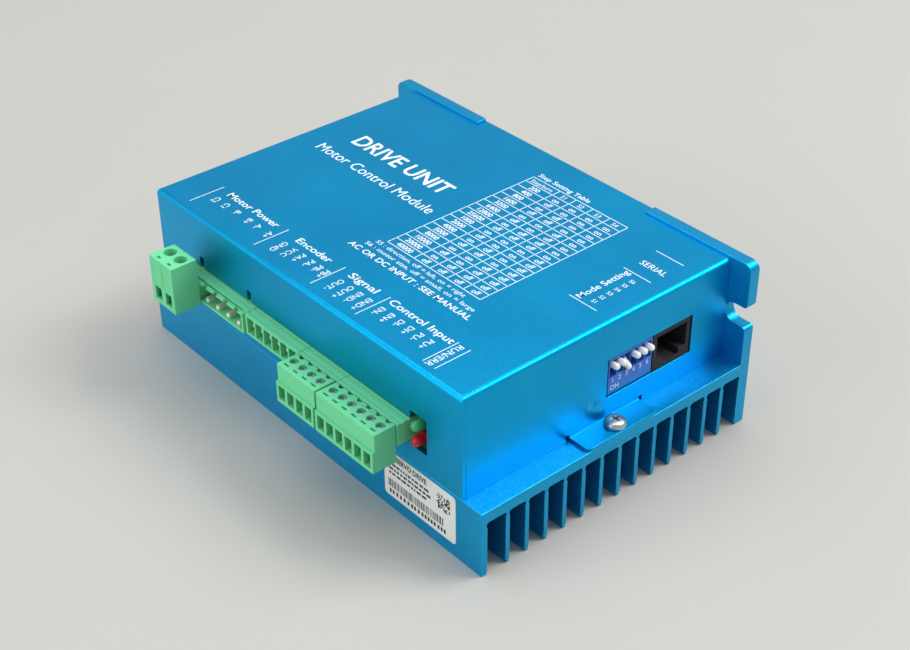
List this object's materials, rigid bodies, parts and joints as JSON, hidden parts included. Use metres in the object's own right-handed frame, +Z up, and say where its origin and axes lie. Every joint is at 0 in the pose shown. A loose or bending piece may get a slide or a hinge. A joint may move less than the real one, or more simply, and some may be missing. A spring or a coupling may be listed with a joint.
{
  "type": "servo drive",
  "caption": "Wall-mounted motor drive: folded sheet cover on a finned L-shaped heatsink, with plug-in screw terminals, setting switches, a serial socket and two lamps.",
  "frame": {"origin": "on the plane of the fin tips, under the middle of the heatsink's length and depth", "axes": "+X along the heatsink, towards the end with the setting switches; +Y towards the mounting wall; +Z up, from the fin tips to the cover"},
  "size_m": [0.1466, 0.1109, 0.052],
  "materials": {
    "blue_aluminium": "blue anodised extrusion, bead-blasted on the base",
    "blue_cover": "blue anodised sheet, fine satin",
    "board": "glass-fibre laminate with green solder mask",
    "terminal_green": "moulded polyamide, semi-matte",
    "steel": "zinc or nickel plated",
    "clamp_metal": "tinned, dull",
    "switch_blue": "moulded, slight gloss",
    "lever_white": "moulded, slight gloss",
    "socket_black": "moulded, satin",
    "green_lens": "clear tinted epoxy",
    "red_lens": "clear tinted epoxy",
    "label": "printed self-adhesive foil",
    "capacitor_sleeve": "shrunk sleeve",
    "module_black": "moulded epoxy"
  },
  "bodies": {
    "root": {"heatsink": "blue_aluminium", "cover": "blue_cover", "main_board": "board", "power_header": "terminal_green", "encoder_header": "terminal_green", "signal_header": "terminal_green", "control_header": "terminal_green", "switch_housing": "switch_blue", "serial_socket": "socket_black", "green_lamp": "green_lens", "red_lamp": "red_lens", "cover_screw_left": "steel", "cover_screw_right": "steel", "rear_screw_1": "steel", "rear_screw_2": "steel", "board_support_left": "steel", "board_support_right": "steel", "board_screw_left": "steel", "board_screw_right": "steel", "rating_label": "label", "capacitor_1": "capacitor_sleeve", "capacitor_2": "capacitor_sleeve", "power_module_1": "module_black", "power_module_2": "module_black", "clamp_bar": "steel", "bar_screw_1": "steel", "bar_screw_2": "steel"},
    "control_plug": {"control_plug": "terminal_green"},
    "control_clamp_screw_1": {"control_clamp_screw_1": "steel"},
    "control_clamp_1": {"control_clamp_1": "clamp_metal"},
    "control_clamp_screw_2": {"control_clamp_screw_2": "steel"},
    "control_clamp_2": {"control_clamp_2": "clamp_metal"},
    "control_clamp_screw_3": {"control_clamp_screw_3": "steel"},
    "control_clamp_3": {"control_clamp_3": "clamp_metal"},
    "control_clamp_screw_4": {"control_clamp_screw_4": "steel"},
    "control_clamp_4": {"control_clamp_4": "clamp_metal"},
    "control_clamp_screw_5": {"control_clamp_screw_5": "steel"},
    "control_clamp_5": {"control_clamp_5": "clamp_metal"},
    "control_clamp_screw_6": {"control_clamp_screw_6": "steel"},
    "control_clamp_6": {"control_clamp_6": "clamp_metal"},
    "signal_plug": {"signal_plug": "terminal_green"},
    "signal_clamp_screw_1": {"signal_clamp_screw_1": "steel"},
    "signal_clamp_1": {"signal_clamp_1": "clamp_metal"},
    "signal_clamp_screw_2": {"signal_clamp_screw_2": "steel"},
    "signal_clamp_2": {"signal_clamp_2": "clamp_metal"},
    "signal_clamp_screw_3": {"signal_clamp_screw_3": "steel"},
    "signal_clamp_3": {"signal_clamp_3": "clamp_metal"},
    "signal_clamp_screw_4": {"signal_clamp_screw_4": "steel"},
    "signal_clamp_4": {"signal_clamp_4": "clamp_metal"},
    "power_plug": {"power_plug": "terminal_green"},
    "power_clamp_screw_1": {"power_clamp_screw_1": "steel"},
    "power_clamp_1": {"power_clamp_1": "clamp_metal"},
    "power_clamp_screw_2": {"power_clamp_screw_2": "steel"},
    "power_clamp_2": {"power_clamp_2": "clamp_metal"},
    "switch_lever_1": {"switch_lever_1": "lever_white"},
    "switch_lever_2": {"switch_lever_2": "lever_white"},
    "switch_lever_3": {"switch_lever_3": "lever_white"},
    "switch_lever_4": {"switch_lever_4": "lever_white"},
    "switch_lever_5": {"switch_lever_5": "lever_white"},
    "switch_lever_6": {"switch_lever_6": "lever_white"}
  },
  "joints": [
    {"name": "control_plug_pull", "type": "slide", "parent": "root", "child": "control_plug", "axis": [0, -1, 0], "range_m": [0, 0.012]},
    {"name": "control_clamp_screw_1_turn", "type": "hinge", "parent": "control_plug", "child": "control_clamp_screw_1", "pos_m": [0.0248, -0.0559, 0.033], "axis": [0, 0, -1], "range_deg": [0, 1800]},
    {"name": "control_clamp_1_lift", "type": "slide", "parent": "control_plug", "child": "control_clamp_1", "axis": [0, 0, 1], "range_m": [0, 0.002]},
    {"name": "control_clamp_screw_2_turn", "type": "hinge", "parent": "control_plug", "child": "control_clamp_screw_2", "pos_m": [0.0286, -0.0559, 0.033], "axis": [0, 0, -1], "range_deg": [0, 1800]},
    {"name": "control_clamp_2_lift", "type": "slide", "parent": "control_plug", "child": "control_clamp_2", "axis": [0, 0, 1], "range_m": [0, 0.002]},
    {"name": "control_clamp_screw_3_turn", "type": "hinge", "parent": "control_plug", "child": "control_clamp_screw_3", "pos_m": [0.03241, -0.0559, 0.033], "axis": [0, 0, -1], "range_deg": [0, 1800]},
    {"name": "control_clamp_3_lift", "type": "slide", "parent": "control_plug", "child": "control_clamp_3", "axis": [0, 0, 1], "range_m": [0, 0.002]},
    {"name": "control_clamp_screw_4_turn", "type": "hinge", "parent": "control_plug", "child": "control_clamp_screw_4", "pos_m": [0.03623, -0.0559, 0.033], "axis": [0, 0, -1], "range_deg": [0, 1800]},
    {"name": "control_clamp_4_lift", "type": "slide", "parent": "control_plug", "child": "control_clamp_4", "axis": [0, 0, 1], "range_m": [0, 0.002]},
    {"name": "control_clamp_screw_5_turn", "type": "hinge", "parent": "control_plug", "child": "control_clamp_screw_5", "pos_m": [0.04004, -0.0559, 0.033], "axis": [0, 0, -1], "range_deg": [0, 1800]},
    {"name": "control_clamp_5_lift", "type": "slide", "parent": "control_plug", "child": "control_clamp_5", "axis": [0, 0, 1], "range_m": [0, 0.002]},
    {"name": "control_clamp_screw_6_turn", "type": "hinge", "parent": "control_plug", "child": "control_clamp_screw_6", "pos_m": [0.04385, -0.0559, 0.033], "axis": [0, 0, -1], "range_deg": [0, 1800]},
    {"name": "control_clamp_6_lift", "type": "slide", "parent": "control_plug", "child": "control_clamp_6", "axis": [0, 0, 1], "range_m": [0, 0.002]},
    {"name": "signal_plug_pull", "type": "slide", "parent": "root", "child": "signal_plug", "axis": [0, -1, 0], "range_m": [0, 0.012]},
    {"name": "signal_clamp_screw_1_turn", "type": "hinge", "parent": "signal_plug", "child": "signal_clamp_screw_1", "pos_m": [0.00805, -0.0559, 0.033], "axis": [0, 0, -1], "range_deg": [0, 1800]},
    {"name": "signal_clamp_1_lift", "type": "slide", "parent": "signal_plug", "child": "signal_clamp_1", "axis": [0, 0, 1], "range_m": [0, 0.002]},
    {"name": "signal_clamp_screw_2_turn", "type": "hinge", "parent": "signal_plug", "child": "signal_clamp_screw_2", "pos_m": [0.01187, -0.0559, 0.033], "axis": [0, 0, -1], "range_deg": [0, 1800]},
    {"name": "signal_clamp_2_lift", "type": "slide", "parent": "signal_plug", "child": "signal_clamp_2", "axis": [0, 0, 1], "range_m": [0, 0.002]},
    {"name": "signal_clamp_screw_3_turn", "type": "hinge", "parent": "signal_plug", "child": "signal_clamp_screw_3", "pos_m": [0.01568, -0.0559, 0.033], "axis": [0, 0, -1], "range_deg": [0, 1800]},
    {"name": "signal_clamp_3_lift", "type": "slide", "parent": "signal_plug", "child": "signal_clamp_3", "axis": [0, 0, 1], "range_m": [0, 0.002]},
    {"name": "signal_clamp_screw_4_turn", "type": "hinge", "parent": "signal_plug", "child": "signal_clamp_screw_4", "pos_m": [0.01948, -0.0559, 0.033], "axis": [0, 0, -1], "range_deg": [0, 1800]},
    {"name": "signal_clamp_4_lift", "type": "slide", "parent": "signal_plug", "child": "signal_clamp_4", "axis": [0, 0, 1], "range_m": [0, 0.002]},
    {"name": "power_plug_pull", "type": "slide", "parent": "root", "child": "power_plug", "axis": [0, -1, 0], "range_m": [0, 0.012]},
    {"name": "power_clamp_screw_1_turn", "type": "hinge", "parent": "power_plug", "child": "power_clamp_screw_1", "pos_m": [-0.0476, -0.05715, 0.039], "axis": [0, 0, -1], "range_deg": [0, 1800]},
    {"name": "power_clamp_1_lift", "type": "slide", "parent": "power_plug", "child": "power_clamp_1", "axis": [0, 0, 1], "range_m": [0, 0.0025]},
    {"name": "power_clamp_screw_2_turn", "type": "hinge", "parent": "power_plug", "child": "power_clamp_screw_2", "pos_m": [-0.04252, -0.05715, 0.039], "axis": [0, 0, -1], "range_deg": [0, 1800]},
    {"name": "power_clamp_2_lift", "type": "slide", "parent": "power_plug", "child": "power_clamp_2", "axis": [0, 0, 1], "range_m": [0, 0.0025]},
    {"name": "switch_lever_1_tilt", "type": "hinge", "parent": "root", "child": "switch_lever_1", "pos_m": [0.0626, 0.00277, 0.0363], "axis": [0, 1, 0], "range_deg": [0, 38]},
    {"name": "switch_lever_2_tilt", "type": "hinge", "parent": "root", "child": "switch_lever_2", "pos_m": [0.0626, 0.00531, 0.0363], "axis": [0, 1, 0], "range_deg": [0, 38]},
    {"name": "switch_lever_3_tilt", "type": "hinge", "parent": "root", "child": "switch_lever_3", "pos_m": [0.0626, 0.00785, 0.0363], "axis": [0, 1, 0], "range_deg": [-38, 0]},
    {"name": "switch_lever_4_tilt", "type": "hinge", "parent": "root", "child": "switch_lever_4", "pos_m": [0.0626, 0.01039, 0.0363], "axis": [0, 1, 0], "range_deg": [0, 38]},
    {"name": "switch_lever_5_tilt", "type": "hinge", "parent": "root", "child": "switch_lever_5", "pos_m": [0.0626, 0.01293, 0.0363], "axis": [0, 1, 0], "range_deg": [0, 38]},
    {"name": "switch_lever_6_tilt", "type": "hinge", "parent": "root", "child": "switch_lever_6", "pos_m": [0.0626, 0.01547, 0.0363], "axis": [0, 1, 0], "range_deg": [0, 38]}
  ],
  "couplings": [
    {"joint": "control_clamp_screw_1_turn", "follows": "control_clamp_1_lift", "rad_per_m": 15708},
    {"joint": "control_clamp_screw_2_turn", "follows": "control_clamp_2_lift", "rad_per_m": 15708},
    {"joint": "control_clamp_screw_3_turn", "follows": "control_clamp_3_lift", "rad_per_m": 15708},
    {"joint": "control_clamp_screw_4_turn", "follows": "control_clamp_4_lift", "rad_per_m": 15708},
    {"joint": "control_clamp_screw_5_turn", "follows": "control_clamp_5_lift", "rad_per_m": 15708},
    {"joint": "control_clamp_screw_6_turn", "follows": "control_clamp_6_lift", "rad_per_m": 15708},
    {"joint": "signal_clamp_screw_1_turn", "follows": "signal_clamp_1_lift", "rad_per_m": 15708},
    {"joint": "signal_clamp_screw_2_turn", "follows": "signal_clamp_2_lift", "rad_per_m": 15708},
    {"joint": "signal_clamp_screw_3_turn", "follows": "signal_clamp_3_lift", "rad_per_m": 15708},
    {"joint": "signal_clamp_screw_4_turn", "follows": "signal_clamp_4_lift", "rad_per_m": 15708},
    {"joint": "power_clamp_screw_1_turn", "follows": "power_clamp_1_lift", "rad_per_m": 12566},
    {"joint": "power_clamp_screw_2_turn", "follows": "power_clamp_2_lift", "rad_per_m": 12566}
  ]
}
